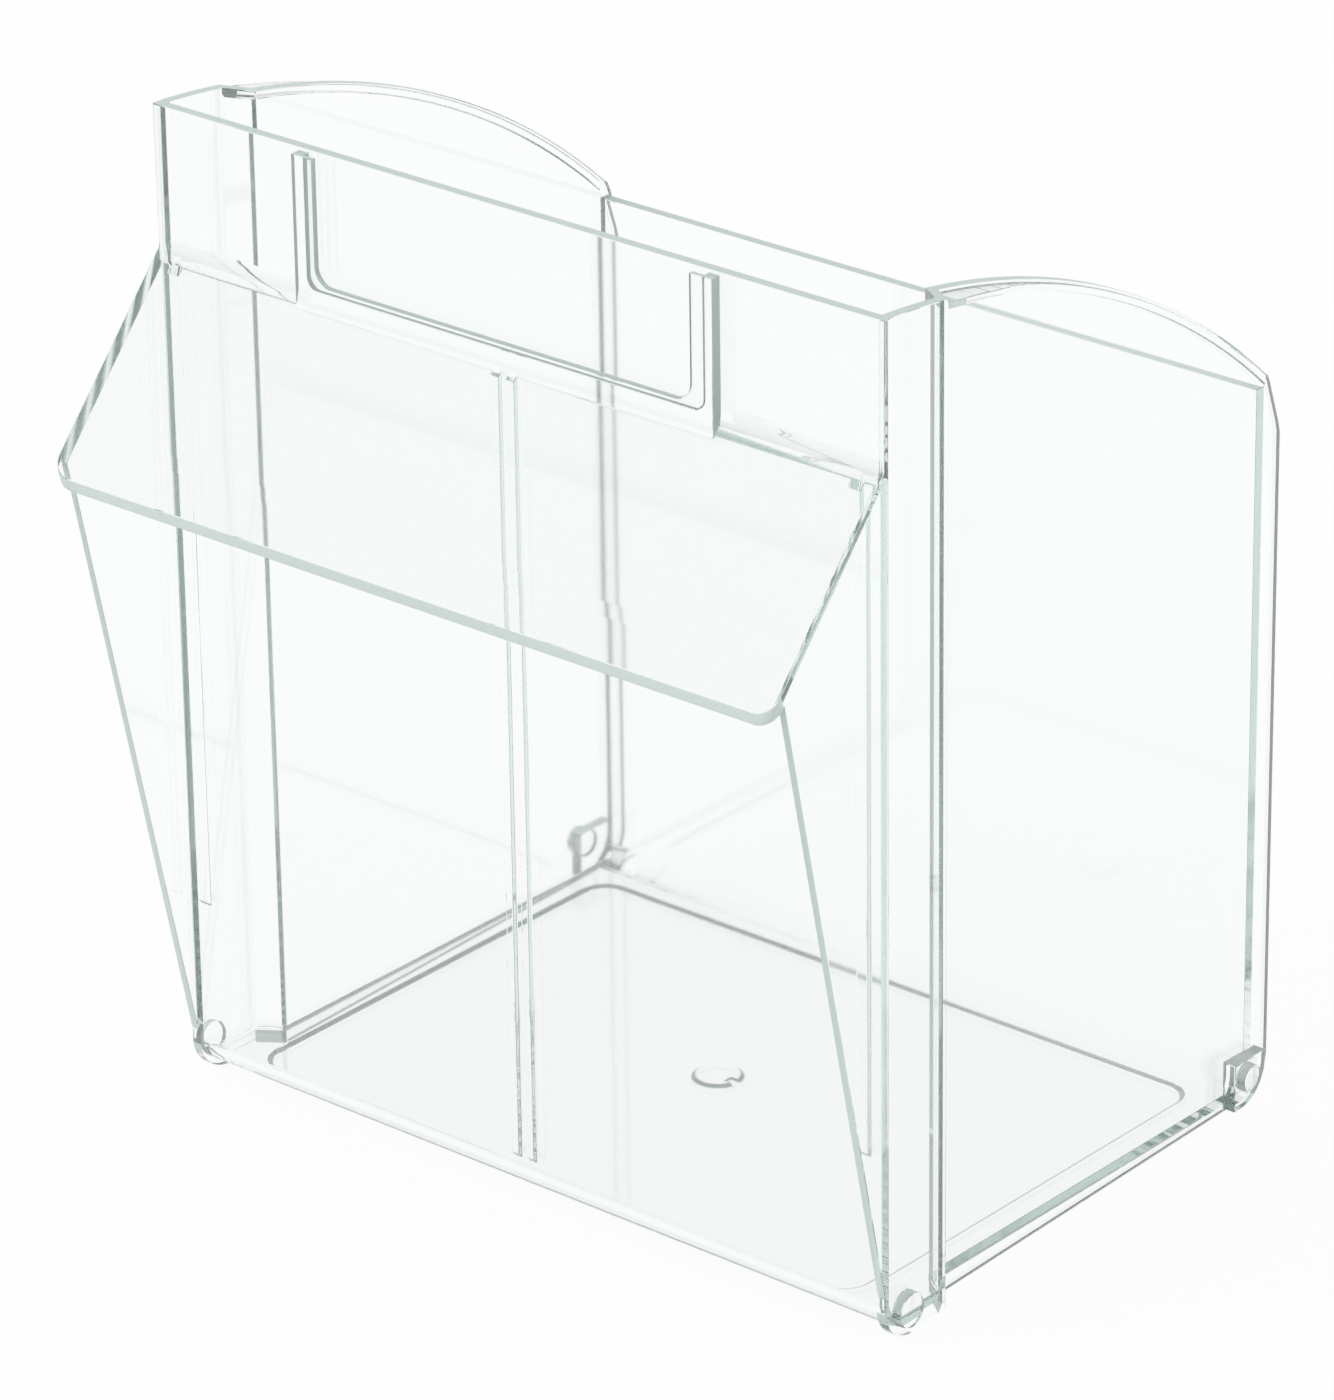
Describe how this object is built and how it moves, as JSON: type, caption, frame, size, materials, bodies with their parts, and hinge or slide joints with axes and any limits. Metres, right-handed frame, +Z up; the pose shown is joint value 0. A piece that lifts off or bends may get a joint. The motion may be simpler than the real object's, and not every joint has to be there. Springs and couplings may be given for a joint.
{
  "type": "tip-out bin",
  "caption": "Clear moulded cup of a tip-out storage bin: open top, arched sides, sloping pull hood, label frame and pivot pins at its lower front corners.",
  "frame": {"origin": "middle of the bounding box's bottom, level with the lowest edge that the cup stands on", "axes": "+Z up, -Y towards the front panel and its hood, +X to the right as seen from the front"},
  "size_m": [0.2, 0.175, 0.228],
  "materials": {
    "clear_plastic": "clear, polished"
  },
  "bodies": {
    "root": {"floor_panel": "clear_plastic", "back_wall": "clear_plastic", "left_side_wall": "clear_plastic", "right_side_wall": "clear_plastic", "left_front_return": "clear_plastic", "right_front_return": "clear_plastic", "front_panel": "clear_plastic", "pull_hood": "clear_plastic", "left_hood_gusset": "clear_plastic", "right_hood_gusset": "clear_plastic", "label_frame": "clear_plastic", "centre_ribs": "clear_plastic", "left_edge_rib": "clear_plastic", "right_edge_rib": "clear_plastic", "left_pivot_pin": "clear_plastic", "right_pivot_pin": "clear_plastic", "left_rear_fin": "clear_plastic", "right_rear_fin": "clear_plastic", "left_rear_heel": "clear_plastic", "right_rear_heel": "clear_plastic", "left_rear_pin": "clear_plastic", "right_rear_pin": "clear_plastic", "left_rim_web": "clear_plastic", "right_rim_web": "clear_plastic"}
  },
  "joints": []
}
